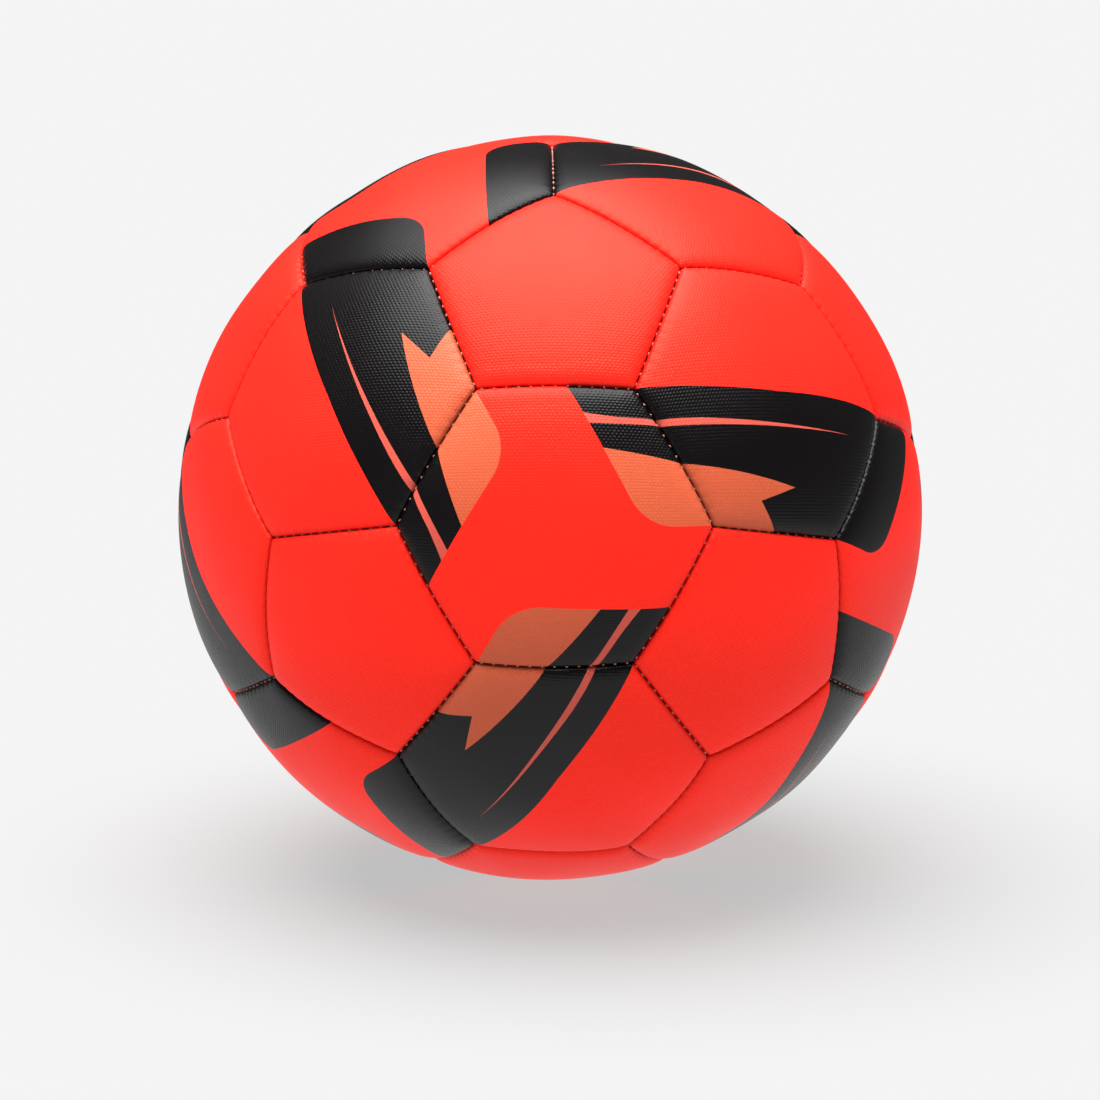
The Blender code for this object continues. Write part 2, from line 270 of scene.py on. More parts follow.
def bow(start, end, rise, steps=12):
    """A shallow arch from one point to another, standing to the left of the line."""
    start, end = Vector(start), Vector(end)
    left = Vector((start.y - end.y, end.x - start.x)).normalized()
    shares = [step / steps for step in range(steps + 1)]
    return [tuple(start.lerp(end, s) + left * rise * 4 * s * (1 - s)) for s in shares]


ARM_START = [(-0.6, 49.0), (25.1, 0.3, 15.0), (60.0, 0.3), (60.0, 60.0), (-0.6, 60.0)]
STRIPE_START = bow((4.0, 33.6), (18.0, 31.9), -0.25)
STRIPE_START += [(34.0, 31.9), (34.0, 30.05)] + bow((24.0, 29.85), (5.0, 29.8), 0.1)
FLAME_START = bow((9.0, 23.0), (40.0, 18.2), 0.35) + [(60.0, 16.0), (60.0, -9.0), (9.0, -9.0)]

ARM_MIDDLE = [(-60.0, 0.0)] + bow((-2.0, 0.0), (49.0, 0.0), 0.7)
ARM_MIDDLE += [(60.0, 0.0), (60.0, -60.0), (-60.0, -60.0)]
STRIPE_MIDDLE = bow((-47.0, -10.6), (-25.0, -9.35), 0.3) + [(26.5, -9.45)]
STRIPE_MIDDLE += bow((26.5, -9.45), (-25.0, -11.25), -0.15) + [(-47.0, -12.5)]
FLAME_MIDDLE = bow((-42.0, -23.1), (3.0, -27.5), 1.1) + [(-9.0, -32.5), (-2.0, -42.0)]
FLAME_MIDDLE += [(-2.0, -60.0), (-42.0, -60.0)]

ARM_CAP = [(-47.0, -26.7), (-21.0, -14.2, 13.0), (-20.5, 60.0), (-60.0, 60.0), (-60.0, -26.7)]


def rounded(outline):
    """The outline with an arc at each corner that has a radius."""
    points = []
    for index, corner in enumerate(outline):
        here = Vector(corner[:2])
        radius = corner[2] if len(corner) > 2 else 0
        if not radius:
            points.append(here)
            continue
        back = (Vector(outline[index - 1][:2]) - here).normalized()
        ahead = (Vector(outline[(index + 1) % len(outline)][:2]) - here).normalized()
        half = back.angle(ahead) / 2
        middle = here + (back + ahead).normalized() * (radius / math.sin(half))
        reach = radius / math.tan(half)
        first, last = here + back * reach - middle, here + ahead * reach - middle
        turn = first.angle_signed(last)
        steps = max(2, math.ceil(abs(turn) * radius / OUTLINE_STEP))
        for step in range(steps + 1):
            points.append(middle + Matrix.Rotation(-turn * step / steps, 2) @ first)
    return points


def three_ways(prints):
    """The same prints three times round the panel's centre."""
    turns = [Matrix.Rotation(math.tau * turn / 3, 2) for turn in range(3)]
    found = []
    for ink, line in prints:
        found += [(ink, [turn @ point for point in rounded(line)]) for turn in turns]
    return found


def circle(radius, step):
    count = math.ceil(math.tau * radius / step)
    turns = [math.tau * number / count for number in range(count)]
    return [Vector((radius * math.cos(turn), radius * math.sin(turn))) for turn in turns]


# One kind of panel, flat in its own plane


class Kind:
    """The outline, seams and printing of one kind of panel."""

    def __init__(self, sides, corner_radius, first_corner, prints=(), grain=0.0):
        self.grain = grain
        turns = [math.radians(first_corner) + math.tau * i / sides for i in range(sides)]
        self.corners = [Vector((math.cos(t), math.sin(t))) * corner_radius for t in turns]
        self.apothem = corner_radius * math.cos(math.pi / sides)
        self.edge = 2 * corner_radius * math.sin(math.pi / sides)
        self.prints = prints
        rays = [Vector((*corner, RADIUS)).normalized() for corner in self.corners]
        after = rays[1:] + rays[:1]
        self.starts = np.array(rays)
        self.normals = np.array([a.cross(b).normalized() for a, b in zip(rays, after)])
        self.forward = np.cross(self.normals, self.starts)
        self.seam_length = RADIUS * rays[0].angle(rays[1])


def inset_ring(kind, inset, spacing=None, count=None):
    """Points round the panel at an inset from its outline."""
    scale = 1 - inset / kind.apothem
    count = count or max(1, round(kind.edge * scale / spacing))
    points = []
    for index, corner in enumerate(kind.corners):
        after = kind.corners[(index + 1) % len(kind.corners)]
        points += [corner.lerp(after, step / count) * scale for step in range(count)]
    return points


def inside(points, outline):
    """Which points lie inside a closed outline."""
    x, y = points[:, 0], points[:, 1]
    crossings = np.zeros(len(points), int)
    for a, b in zip(outline, outline[1:] + outline[:1]):
        if a.y == b.y:
            continue
        spans = (y >= min(a.y, b.y)) & (y < max(a.y, b.y))
        crossings += spans & (x < a.x + (y - a.y) * (b.x - a.x) / (b.y - a.y))
    return crossings % 2 == 1


def distances_to(points, lines):
    """How far each point is from the nearest of the lines."""
    nearest = np.full(len(points), np.inf)
    for a, b in lines:
        along = np.array(b - a)
        share = np.clip(((points - a) @ along) / along.dot(along), 0, 1)
        gap = np.linalg.norm(points - a - share[:, None] * along, axis=1)
        nearest = np.minimum(nearest, gap)
    return nearest


def clipped(a, b, corners):
    """The part of a line that lies in a convex outline, or None."""
    low, high = 0.0, 1.0
    for corner, after in zip(corners, corners[1:] + corners[:1]):
        inward = Vector((corner.y - after.y, after.x - corner.x))
        from_a, from_b = (a - corner).dot(inward), (b - corner).dot(inward)
        if from_a < 0 and from_b < 0:
            return None
        if from_a < 0:
            low = max(low, from_a / (from_a - from_b))
        elif from_b < 0:
            high = min(high, from_a / (from_a - from_b))
    return (a.lerp(b, low), a.lerp(b, high)) if high - low > 1e-6 else None


def print_lines(kind, rim):
    """The printed outlines as short lines, cut off at the rim."""
    lines = []
    for _, outline in kind.prints:
        for a, b in zip(outline, outline[1:] + outline[:1]):
            part = clipped(a, b, rim)
            if part is None:
                continue
            steps = max(1, math.ceil((part[1] - part[0]).length / OUTLINE_STEP))
            stops = [part[0].lerp(part[1], step / steps) for step in range(steps + 1)]
            lines += list(zip(stops, stops[1:]))
    return lines


def grid_points(reach, spacing):
    steps = math.ceil(reach / spacing)
    values = [step * spacing for step in range(-steps, steps + 1)]
    return [Vector((x, y)) for x in values for y in values]


def triangulated(loops, lines, loose):
    """Triangles between the loops, with every line an edge. Input numbers come back as well."""
    points, edges = [], []
    for loop in loops:
        first = len(points)
        points += loop
        edges += [(first + i, first + (i + 1) % len(loop)) for i in range(len(loop))]
    for a, b in lines:
        edges.append((len(points), len(points) + 1))
        points += [a, b]
    points += loose
    flat, _, faces, origins, _, _ = delaunay_2d_cdt(points, edges, [], 1, 1e-4)
    flat = np.array(flat, float)
    faces = np.array(faces, int)
    sides = flat[faces[:, 1:]] - flat[faces[:, :1]]
    area = np.cross(sides[:, 0], sides[:, 1])
    faces[area < 0] = faces[area < 0][:, ::-1]
    faces = faces[np.abs(area) > 1e-6]
    for hole in loops[1:]:
        faces = faces[~inside(flat[faces].mean(axis=1), hole)]
    return flat, faces, origins


def border_loops(faces):
    """The loops of edges that only one face has, in the faces' own direction."""
    edges = {(int(f[i]), int(f[(i + 1) % 3])) for f in faces for i in range(3)}
    following = {a: b for a, b in edges if (b, a) not in edges}
    loops = []
    while following:
        loop = [next(iter(following))]
        while loop[-1] in following:
            loop.append(following.pop(loop[-1]))
        loops.append(loop[:-1])
    return sorted(loops, key=len, reverse=True)


def flat_face(kind, hole_radius):
    """The panel's outer face in its plane: points, triangles and each triangle's ink."""
    rim = inset_ring(kind, RIM_INSET, count=STITCHES_PER_SEAM * POINTS_PER_STITCH)
    lines = print_lines(kind, inset_ring(kind, RIM_INSET, count=1))
    holes = [circle(hole_radius, HOLE_STEP)] if hole_radius else []
    loose = [p for inset, spacing in RINGS for p in inset_ring(kind, inset, spacing)]
    middle = grid_points(kind.apothem * 1.2, MIDDLE_SPACING)
    walls = inset_ring(kind, MIDDLE_INSET, count=1)
    loose += [middle[i] for i in np.flatnonzero(inside(np.array(middle), walls))]
    if hole_radius:
        loose += [p for gap, step in HOLE_RINGS for p in circle(hole_radius + gap, step)]
    near = distances_to(np.array(loose), lines) < CLEARANCE if lines else np.zeros(len(loose))
    loose = [p for p, close in zip(loose, near) if not close]
    flat, faces, _ = triangulated([rim] + holes, lines, loose)
    inks = np.zeros(len(faces), int)
    centres = flat[faces].mean(axis=1)
    for ink, outline in kind.prints:
        allowed = inks == (0 if ink == BLACK_SLOT else BLACK_SLOT)
        inks[inside(centres, outline) & allowed] = ink
    return flat, faces, inks


# The relief of the sewn cover


def stitch_wave(along):
    """1 at each stitch along a seam and 0 halfway between two."""
    return 0.5 - 0.5 * np.cos(math.tau * along)


def soft_step(value):
    """0 well below zero and the value itself well above it."""
    return np.logaddexp(0, value)


def relief_depth(kind, rays):
    """How far the cover lies below the ball's sphere, in millimetres, and its sideways gap."""
    across = RADIUS * np.arcsin(np.clip(rays @ kind.normals.T, -1, 1))
    along = RADIUS * np.arctan2(rays @ kind.forward.T, rays @ kind.starts.T)
    wave = stitch_wave(along / kind.seam_length * STITCHES_PER_SEAM)
    inner = np.maximum(across, 0)
    depth = sum(size * np.exp(-inner / reach) for size, reach in CREASE)
    shoulder = soft_step((SHOULDER_PLACE - inner) / SHOULDER_WIDTH) * SHOULDER_WIDTH
    depth += SHOULDER_SLOPE * shoulder
    depth += STITCH_PULL * wave**2 * np.exp(-inner / STITCH_PULL_REACH)
    total = (depth**CORNER_SHARPNESS).sum(axis=1) ** (1 / CORNER_SHARPNESS)
    opening = GAP_OPENING * (1 - wave) * np.exp(-inner / GAP_REACH)
    return total, opening @ kind.normals


def crease_shade(kind, flat):
    """1 on the seam, falling to 0 a little way in: where painted shade darkens the cover's colour
    in the fold.
    """
    across = RADIUS * np.arcsin(np.clip(rays_of(flat) @ kind.normals.T, -1, 1))
    return np.exp(-np.maximum(across.min(axis=1), 0) / CREASE_SHADE_REACH)


def unevenness(rays):
    """The slow rise and fall of a real ball, in millimetres."""
    phases = [rays @ np.array(wave[:3]) * UNEVEN_SCALE + wave[3] for wave in UNEVEN_WAVES]
    return sum(UNEVENNESS * np.sin(phase) for phase in phases)


def rays_of(flat):
    rays = np.column_stack([flat, np.full(len(flat), RADIUS)])
    return rays / np.linalg.norm(rays, axis=1)[:, None]


def cover_points(kind, axes, flat):
    """Where the cover's points lie on the sewn ball, in metres."""
    rays = rays_of(flat)
    depth, gap = relief_depth(kind, rays)
    rays = rays + gap / RADIUS
    rays = rays / np.linalg.norm(rays, axis=1)[:, None] @ np.array(axes).T
    return rays * ((RADIUS - depth + unevenness(rays)) * MM)[:, None]


def cover_normals(kind, axes, flat):
    step = 0.02
    slopes = []
    for shift in ((step, 0), (0, step)):
        ahead = cover_points(kind, axes, flat + shift)
        slopes.append(ahead - cover_points(kind, axes, flat - np.array(shift)))
    normals = np.cross(*slopes)
    return normals / np.linalg.norm(normals, axis=1)[:, None]


def sunk_points(axes, flat, depth):
    rays = rays_of(flat) @ np.array(axes).T
    return rays * (RADIUS - depth) * MM


# Panel meshes


def wall_faces(upper, lower):
    """Two triangles for each step between two rings of points."""
    found = []
    for i in range(len(upper)):
        after = (i + 1) % len(upper)
        found.append((upper[after], upper[i], lower[i]))
        found.append((upper[after], lower[i], lower[after]))
    return found


class Panel:
    """The closed mesh of one kind of panel, before it is placed on the ball."""

    def __init__(self, kind, hole_radius=0.0):
        self.kind = kind
        self.flat, faces, inks = flat_face(kind, hole_radius)
        self.cover_count = len(self.flat)
        self.cover_faces = len(faces)
        self.sunk = []
        self.faces = [tuple(face) for face in faces]
        self.inks = list(inks)
        loops = border_loops(faces)
        ring = loops[0]
        for inset, depth in WALL + ((LINING_INSET, LINING_DEPTH),):
            scale = 1 - inset / kind.apothem
            ring = self.add_ring(ring, self.flat[loops[0]] * scale, depth)
        rings = [ring]
        rings += [self.add_ring(loop, self.flat[loop], LINING_DEPTH) for loop in loops[1:]]
        self.add_lining(rings)

    def points(self):
        return np.vstack([self.flat] + [flat for flat, _ in self.sunk])

    def add_points(self, flat, depth):
        first = self.cover_count + sum(len(flat) for flat, _ in self.sunk)
        self.sunk.append((np.array(flat, float).reshape(-1, 2), depth))
        return list(range(first, first + len(flat)))

    def add_ring(self, upper, flat, depth):
        lower = self.add_points(flat, depth)
        self.faces += wall_faces(upper, lower)
        return lower

    def add_lining(self, rings):
        """Closes the panel's back between the rings."""
        points = self.points()
        loops = [[Vector(points[i]) for i in ring] for ring in rings]
        loose = grid_points(self.kind.apothem, LINING_SPACING)
        room = np.linalg.norm(np.array(loose), axis=1) < self.kind.apothem * 0.85
        room &= np.linalg.norm(np.array(loose), axis=1) > VALVE_HOLE_RADIUS + 1
        loose = [loose[i] for i in np.flatnonzero(room)]
        flat, faces, origins = triangulated(loops, [], loose)
        known = [number for ring in rings for number in ring]
        numbers = []
        for place, origin in zip(flat, origins):
            if origin and origin[0] < len(known):
                numbers.append(known[origin[0]])
            else:
                numbers += self.add_points([place], LINING_DEPTH)
        self.faces += [tuple(numbers[i] for i in face[::-1]) for face in faces]

    def placed(self, axes):
        """All points on the ball, in metres."""
        parts = [cover_points(self.kind, axes, self.flat)]
        parts += [sunk_points(axes, flat, depth) for flat, depth in self.sunk]
        return np.vstack(parts)


def new_object(name, points, faces):
    mesh = bpy.data.meshes.new(name)
    mesh.from_pydata([tuple(p) for p in points], [], [tuple(map(int, f)) for f in faces])
    mesh.polygons.foreach_set("use_smooth", [True] * len(mesh.polygons))
    mesh.update()
    made = bpy.data.objects.new(name, mesh)
    bpy.context.scene.collection.objects.link(made)
    return made


def set_grid_map(mesh, flat, turn):
    """A map of the panel's plane, one unit to a metre, for the embossing."""
    flat = flat @ np.array(Matrix.Rotation(turn, 2))
    corners = np.zeros(len(mesh.loops), int)
    mesh.loops.foreach_get("vertex_index", corners)
    layer = mesh.uv_layers.new(name="panel_plane")
    layer.data.foreach_set("uv", (flat[corners] * MM).astype(np.float32).ravel())


# Stores how strongly painted shade darkens each point of the cover along the seams' folds
def set_crease_shade(mesh, panel):
    shade = np.ones(len(mesh.vertices), np.float32)
    shade[:panel.cover_count] = crease_shade(panel.kind, panel.flat)
    mesh.attributes.new("crease_shade", "FLOAT", "POINT").data.foreach_set("value", shade)


def set_normals(mesh, panel, axes):
    """The true surface normals on the cover, and flat faces on the walls and the back."""
    corners = np.zeros(len(mesh.loops), int)
    mesh.loops.foreach_get("vertex_index", corners)
    normals = np.zeros((len(mesh.polygons), 3), np.float32)
    mesh.polygons.foreach_get("normal", normals.ravel())
    shown = np.repeat(normals.astype(float), 3, axis=0)
    cover = cover_normals(panel.kind, axes, panel.flat)
    last = panel.cover_faces * 3
    shown[:last] = cover[corners[:last]]
    mesh.normals_split_custom_set([tuple(n) for n in shown])


def panel_object(node, panel, axes, inks):
    """A panel on the ball. The last of its inks is for the walls and the back."""
    made = new_object(f"{node}_cover", panel.placed(axes), panel.faces)
    for ink in inks:
        made.data.materials.append(ink)
    indices = panel.inks + [len(inks) - 1] * (len(panel.faces) - len(panel.inks))
    made.data.polygons.foreach_set("material_index", indices)
    set_grid_map(made.data, panel.points(), panel.kind.grain)
    set_crease_shade(made.data, panel)
    set_normals(made.data, panel, axes)
    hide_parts(node)
    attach(made, "root")


# Seam threads


def tube(centres, radii, side):
    """The points and faces of a closed tube along a path that lies in one plane."""
    tangents = np.gradient(centres, axis=0)
    tangents /= np.linalg.norm(tangents, axis=1)[:, None]
    turns = np.arange(THREAD_SIDES) * math.tau / THREAD_SIDES
    ups = np.cross(side, tangents)
    across = np.cos(turns)[None, :, None] * ups[:, None] + np.sin(turns)[None, :, None] * side
    points = (centres[:, None] + across * radii[:, None, None]).reshape(-1, 3)
    faces = []
    for ring in range(len(centres) - 1):
        for number in range(THREAD_SIDES):
            after = (number + 1) % THREAD_SIDES
            near, far = ring * THREAD_SIDES, (ring + 1) * THREAD_SIDES
            faces.append((near + number, near + after, far + after, far + number))
    faces.append(tuple(range(THREAD_SIDES))[::-1])
    faces.append(tuple(range(len(points) - THREAD_SIDES, len(points))))
    return points, faces


def seam_tube(start, end):
    """The thread along one seam, coming up into the groove at each stitch."""
    length = RADIUS * start.angle(end)
    along = np.linspace(THREAD_END, length - THREAD_END, STITCHES_PER_SEAM * THREAD_STEPS)
    wave = stitch_wave(along / length * STITCHES_PER_SEAM) ** BEAD_SHARPNESS
    depth = THREAD_DEPTH + (BEAD_DEPTH - THREAD_DEPTH) * wave
    radii = (THREAD_RADIUS + (BEAD_RADIUS - THREAD_RADIUS) * wave) * MM
    side = np.array(start.cross(end).normalized())
    forward = np.cross(side, np.array(start))
    turn = (along / RADIUS)[:, None]
    rays = np.cos(turn) * np.array(start) + np.sin(turn) * forward
    centres = rays * ((RADIUS - depth + unevenness(rays)) * MM)[:, None]
    return tube(centres, radii, side)


def all_seams(pentagons):
    """Both ends of each seam: round every pentagon, and between two hexagons."""
    seams = []
    for centre in pentagons:
        near = neighbours(centre, pentagons, 5)
        for one, other in itertools.combinations(near, 2):
            if one.dot(other) > NEXT_PENTAGON_COSINE:
                ends = [(centre * 2 + far).normalized() for far in (one, other)]
                seams.append(tuple(ends))
        seams += [
            ((centre * 2 + far).normalized(), (centre + far * 2).normalized())
            for far in near
            if tuple(centre) < tuple(far)
        ]
    return seams


def thread_object(node, seams, material):
    """The thread that stands for a CAD thread, along the seams that the CAD thread follows."""
    cad = np.array([v.co for v in frame["nodes"][node].data.vertices]) / MM
    points, faces = [], []
    for start, end in seams:
        middle = np.array((start + end).normalized()) * RADIUS
        if np.linalg.norm(cad - middle, axis=1).min() > THREAD_SEARCH:
            continue
        seam_points, seam_faces = seam_tube(start, end)
        first = len(points)
        points += list(seam_points)
        faces += [tuple(first + i for i in face) for face in seam_faces]
    made = new_object(f"{node}_stitches", points, faces)
    made.data.materials.append(material)
    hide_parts(node)
    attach(made, "root")


# Materials


class Nodes:
    """Short calls for building one material's nodes."""

    def __init__(self, name):
        self.material = bpy.data.materials.new(name)
        self.material.use_nodes = True
        self.tree = self.material.node_tree
        self.shader = self.tree.nodes["Principled BSDF"]

    def add(self, kind, **values):
        node = self.tree.nodes.new(kind)
        for name, value in values.items():
            setattr(node, name, value)
        return node

    def link(self, source, target):
        self.tree.links.new(source, target)

    def math(self, operation, one, other=None):
        node = self.add("ShaderNodeMath", operation=operation)
        for socket, value in zip(node.inputs, (one, other)):
            if isinstance(value, bpy.types.NodeSocket):
                self.link(value, socket)
            elif value is not None:
                socket.default_value = value
        return node.outputs[0]

    def noise(self, scale, detail=3.0):
        """Noise in the ball's own space, scale being waves to a metre."""
        place = self.add("ShaderNodeTexCoord")
        node = self.add("ShaderNodeTexNoise")
        node.inputs["Scale"].default_value = scale
        node.inputs["Detail"].default_value = detail
        self.link(place.outputs["Object"], node.inputs["Vector"])
        return node.outputs["Fac"]

    def spread(self, value, low, high):
        """A 0 to 1 value mapped between two numbers."""
        node = self.add("ShaderNodeMapRange")
        node.inputs["From Min"].default_value = 0.3
        node.inputs["From Max"].default_value = 0.7
        node.inputs["To Min"].default_value = low
        node.inputs["To Max"].default_value = high
        self.link(value, node.inputs["Value"])
        return node.outputs["Result"]

    def shaded(self, colour, factor):
        """A colour made a little lighter or darker by a factor."""
        node = self.add("ShaderNodeVectorMath", operation="SCALE")
        node.inputs[0].default_value = colour
        self.link(factor, node.inputs["Scale"])
        self.link(node.outputs["Vector"], self.shader.inputs["Base Color"])

    def bump(self, height, distance):
        node = self.add("ShaderNodeBump")
        node.inputs["Strength"].default_value = 1.0
        node.inputs["Distance"].default_value = distance
        self.link(height, node.inputs["Height"])
        self.link(node.outputs["Normal"], self.shader.inputs["Normal"])


def embossed_grid(nodes):
    """Rows of small pillows, as a woven film presses them into the cover."""
    place = nodes.add("ShaderNodeUVMap", uv_map="panel_plane")
    split = nodes.add("ShaderNodeSeparateXYZ")
    nodes.link(place.outputs["UV"], split.inputs["Vector"])
    columns = nodes.math("DIVIDE", split.outputs["X"], EMBOSS_PITCH[0] * MM)
    rows = nodes.math("DIVIDE", split.outputs["Y"], EMBOSS_PITCH[1] * MM)
    offset = nodes.math("MULTIPLY", nodes.math("FLOOR", rows), 0.5)
    waves = []
    for count in (nodes.math("ADD", columns, offset), rows):
        wave = nodes.math("SINE", nodes.math("MULTIPLY", count, math.pi))
        waves.append(nodes.math("MULTIPLY", wave, wave))
    return nodes.math("MULTIPLY", *waves)


def cover_material(name, colour, roughness, specular, tint=(1, 1, 1, 1), emboss=1.0):
    """The coated cover: an embossed grid, a faint grain, uneven ink, and painted shade in the
    grid's grooves and along the seams' folds.
    """
    nodes = Nodes(name)
    grid = embossed_grid(nodes)
    grain = nodes.noise(GRAIN_SCALE, 2.0)
    height = nodes.math("ADD", grid, nodes.math("MULTIPLY", grain, GRAIN_HEIGHT))
    nodes.bump(height, EMBOSS_HEIGHT * emboss)
    patches = nodes.noise(28, 4.0)
    speckle = nodes.noise(900, 2.0)
    tones = [nodes.spread(value, 0.97, 1.03) for value in (patches, speckle)]
    tone = nodes.math("MULTIPLY", *tones)
    # Painted shade: the colour darker in the emboss's grooves and lighter on its pillows
    painted_groove_shade = nodes.math("ADD", nodes.math("MULTIPLY", grid, GROOVE_SHADE), 1 - GROOVE_SHADE / 2)
    # Painted shade: the colour darkened along the seams' folds
    crease = nodes.add("ShaderNodeAttribute", attribute_name="crease_shade").outputs["Fac"]
    fold = nodes.math("SUBTRACT", 1.0, nodes.math("MULTIPLY", crease, CREASE_SHADE))
    nodes.shaded(colour, nodes.math("MULTIPLY", nodes.math("MULTIPLY", tone, painted_groove_shade), fold))
    rough = nodes.math("ADD", nodes.spread(nodes.noise(45, 4.0), -0.04, 0.04), roughness)
    nodes.link(rough, nodes.shader.inputs["Roughness"])
    nodes.shader.inputs["Specular IOR Level"].default_value = specular
    nodes.shader.inputs["Specular Tint"].default_value = tint
    return nodes.material


def thread_material():
    nodes = Nodes("waxed_thread")
    twist = nodes.noise(3500, 2.0)
    nodes.bump(twist, 0.00012)
    nodes.shaded(THREAD_COLOUR, nodes.spread(nodes.noise(1500, 2.0), 0.8, 1.1))
    nodes.shader.inputs["Roughness"].default_value = 0.55
    nodes.shader.inputs["Sheen Weight"].default_value = 0.3
    return nodes.material


def rubber_material(name, colour, roughness):
    nodes = Nodes(name)
    nodes.bump(nodes.noise(900, 4.0), 0.00008)
    nodes.shaded(colour, nodes.spread(nodes.noise(160, 3.0), 0.8, 1.2))
    rough = nodes.math("ADD", nodes.spread(nodes.noise(70, 3.0), -0.07, 0.07), roughness)
    nodes.link(rough, nodes.shader.inputs["Roughness"])
    return nodes.material


def textile_material(name, colour):
    """A plain weave, its threads running two ways."""
    nodes = Nodes(name)
    place = nodes.add("ShaderNodeTexCoord")
    split = nodes.add("ShaderNodeSeparateXYZ")
    nodes.link(place.outputs["Object"], split.inputs["Vector"])
    waves = []
    for axis in "XZ":
        turns = nodes.math("MULTIPLY", split.outputs[axis], math.tau / WEAVE_PITCH)
        waves.append(nodes.math("SINE", turns))
    weave = nodes.math("MULTIPLY", *waves)
    nodes.bump(weave, 0.00015)
    nodes.shaded(colour, nodes.spread(nodes.noise(300, 3.0), 0.85, 1.05))
    nodes.shader.inputs["Roughness"].default_value = 0.9
    return nodes.material


# Valve


def cad_section(node):
    """Radii and heights of a CAD node's points about the valve's axis, in millimetres."""
    points = np.array([v.co for v in frame["nodes"][node].data.vertices]) / MM
    axis = np.array(VALVE_AXIS)
    heights = points @ axis
    return np.linalg.norm(points - np.outer(heights, axis), axis=1), heights


def rounded_profile(corners, radius):
    """A closed (radius, height) outline with its corners rounded off."""
    points = []
    for index, corner in enumerate(corners):
        here = Vector(corner)
        before = Vector(corners[index - 1])
        after = Vector(corners[(index + 1) % len(corners)])
        reach = min(radius, (before - here).length / 3, (after - here).length / 3)
        first = here + (before - here).normalized() * reach
        last = here + (after - here).normalized() * reach
        for step in range(ROUNDING_STEPS + 1):
            share = step / ROUNDING_STEPS
            points.append(first.lerp(here, share).lerp(here.lerp(last, share), share))
    return points


def turned_object(node, profile, material):
    """A ring-shaped body turned about the valve's axis from a closed outline."""
    axes = np.array(tangent_frame(VALVE_AXIS, UP, 90))
    turns = np.arange(TURNED_SIDES) * math.tau / TURNED_SIDES
    points, faces = [], []
    for turn in turns:
        points += [(r * math.cos(turn), r * math.sin(turn), h) for r, h in profile]
    count = len(profile)
    for side in range(TURNED_SIDES):
        near, far = side * count, (side + 1) % TURNED_SIDES * count
        for i in range(count):
            after = (i + 1) % count
            faces.append((near + i, far + i, far + after, near + after))
    made = new_object(f"{node}_turned", np.array(points) @ axes.T * MM, faces)
    made.data.materials.append(material)
    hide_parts(node)
    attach(made, "root")


def valve_body_piece(material):
    """The stem with its socket for the plug, its bore and its flange, to the CAD's sizes."""
    radii, heights = cad_section("valve_body")
    top, bottom = heights.max(), heights.min()
    at_top = radii[heights > top - SAME_SIZE]
    stem, socket = at_top.max(), at_top.min()
    bore, flange = radii.min(), radii.max()
    shelf = heights[np.abs(radii - socket) < SAME_SIZE].min()
    flange_heights = heights[radii > flange - SAME_SIZE]
    flange_low, flange_high = flange_heights.min(), flange_heights.max()
    outline = [(stem, top), (socket, top), (socket, shelf), (bore, shelf)]
    outline += [(bore, bottom), (stem, bottom), (stem, flange_low)]
    outline += [(flange, flange_low), (flange, flange_high)]
    outline.append((stem, flange_high + stem / flange))
    turned_object("valve_body", rounded_profile(outline, BODY_ROUNDING), material)


def valve_plug_piece(material):
    """The plug with a flared mouth to its blind needle bore, to the CAD's sizes."""
    radii, heights = cad_section("valve_plug")
    top, bottom = heights.max(), heights.min()
    head = radii.max()
    needle = radii[heights > top - SAME_SIZE].min()
    neck = heights[radii > head - SAME_SIZE].min()
    shank = radii[heights < bottom + SAME_SIZE].max()
    floor = heights[radii < needle + SAME_SIZE].min()
    flare, flare_depth = NEEDLE_FLARE
    outline = [(needle + flare, top), (needle, top - flare_depth), (needle, floor)]
    outline += [(AXIS_RADIUS, floor - BORE_END), (AXIS_RADIUS, bottom), (shank, bottom)]
    outline += [(shank, neck), (head, neck), (head, top)]
    turned_object("valve_plug", rounded_profile(outline, PLUG_ROUNDING), material)


# Studio


def faded(tree, value, ends, levels):
    """A level that fades smoothly to another as a value goes from one end to the other."""
    fade = tree.nodes.new("ShaderNodeMapRange")
    fade.interpolation_type = "SMOOTHSTEP"
    for name, number in zip(("From Min", "From Max", "To Min", "To Max"), ends + levels):
        fade.inputs[name].default_value = number
    tree.links.new(value, fade.inputs["Value"])
    return fade.outputs["Result"]


def studio_world():
    """A bright ceiling, dark walls, and a bright table below for the ball to mirror."""
    world = bpy.data.worlds.new("studio")
    bpy.context.scene.world = world
    world.use_nodes = True
    tree = world.node_tree
    place = tree.nodes.new("ShaderNodeTexCoord")
    split = tree.nodes.new("ShaderNodeSeparateXYZ")
    tree.links.new(place.outputs["Generated"], split.inputs["Vector"])
    height = split.outputs["Z"]
    total = tree.nodes.new("ShaderNodeMath")
    above = faded(tree, height, (WALL_TOP, CEILING_EDGE), (WALL_LIGHT, CEILING_LIGHT))
    below = faded(tree, height, (TABLE_NEAR, TABLE_EDGE), (TABLE_LIGHT, 0.0))
    tree.links.new(above, total.inputs[0])
    tree.links.new(below, total.inputs[1])
    tree.links.new(total.outputs[0], tree.nodes["Background"].inputs["Strength"])
    tree.nodes["Background"].inputs["Color"].default_value = (1, 1, 1, 1)


def soft_sun(name, strength, spread, turned):
    """Light that shades the ball but gives no highlight of its own."""
    data = bpy.data.lights.new(name, "SUN")
    data.energy = strength
    data.angle = spread
    light = bpy.data.objects.new(name, data)
    light.rotation_euler = turned
    light.visible_glossy = False
    bpy.context.scene.collection.objects.link(light)


